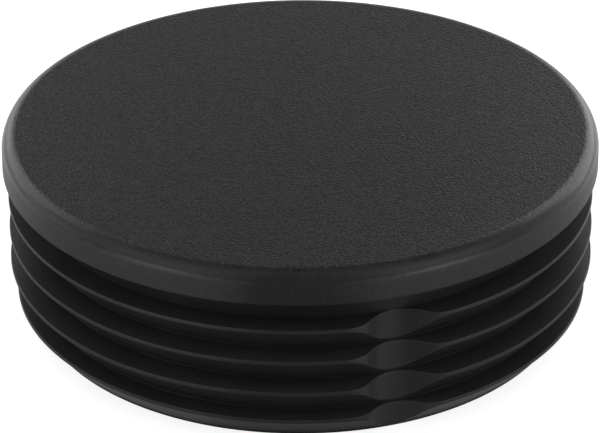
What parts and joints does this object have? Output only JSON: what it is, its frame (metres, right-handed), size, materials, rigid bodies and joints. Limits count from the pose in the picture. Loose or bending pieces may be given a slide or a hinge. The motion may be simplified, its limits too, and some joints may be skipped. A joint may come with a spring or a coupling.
{
  "type": "round tube insert",
  "caption": "Flat round cap with a rounded rim above a hollow core ringed by barbed fins, pressed into the open end of a round tube to close it.",
  "frame": {"origin": "on the axis of the insert, in the plane of the open end that it stands on", "axes": "+Z along the axis from the open end to the flat top; the relief notches in the fins lie along +Y and -Y"},
  "size_m": [0.1, 0.1, 0.0327],
  "materials": {
    "black_polyethylene": "moulded, fine grain on the flat top and satin elsewhere"
  },
  "bodies": {
    "root": {"tube_insert": "black_polyethylene"}
  },
  "joints": []
}
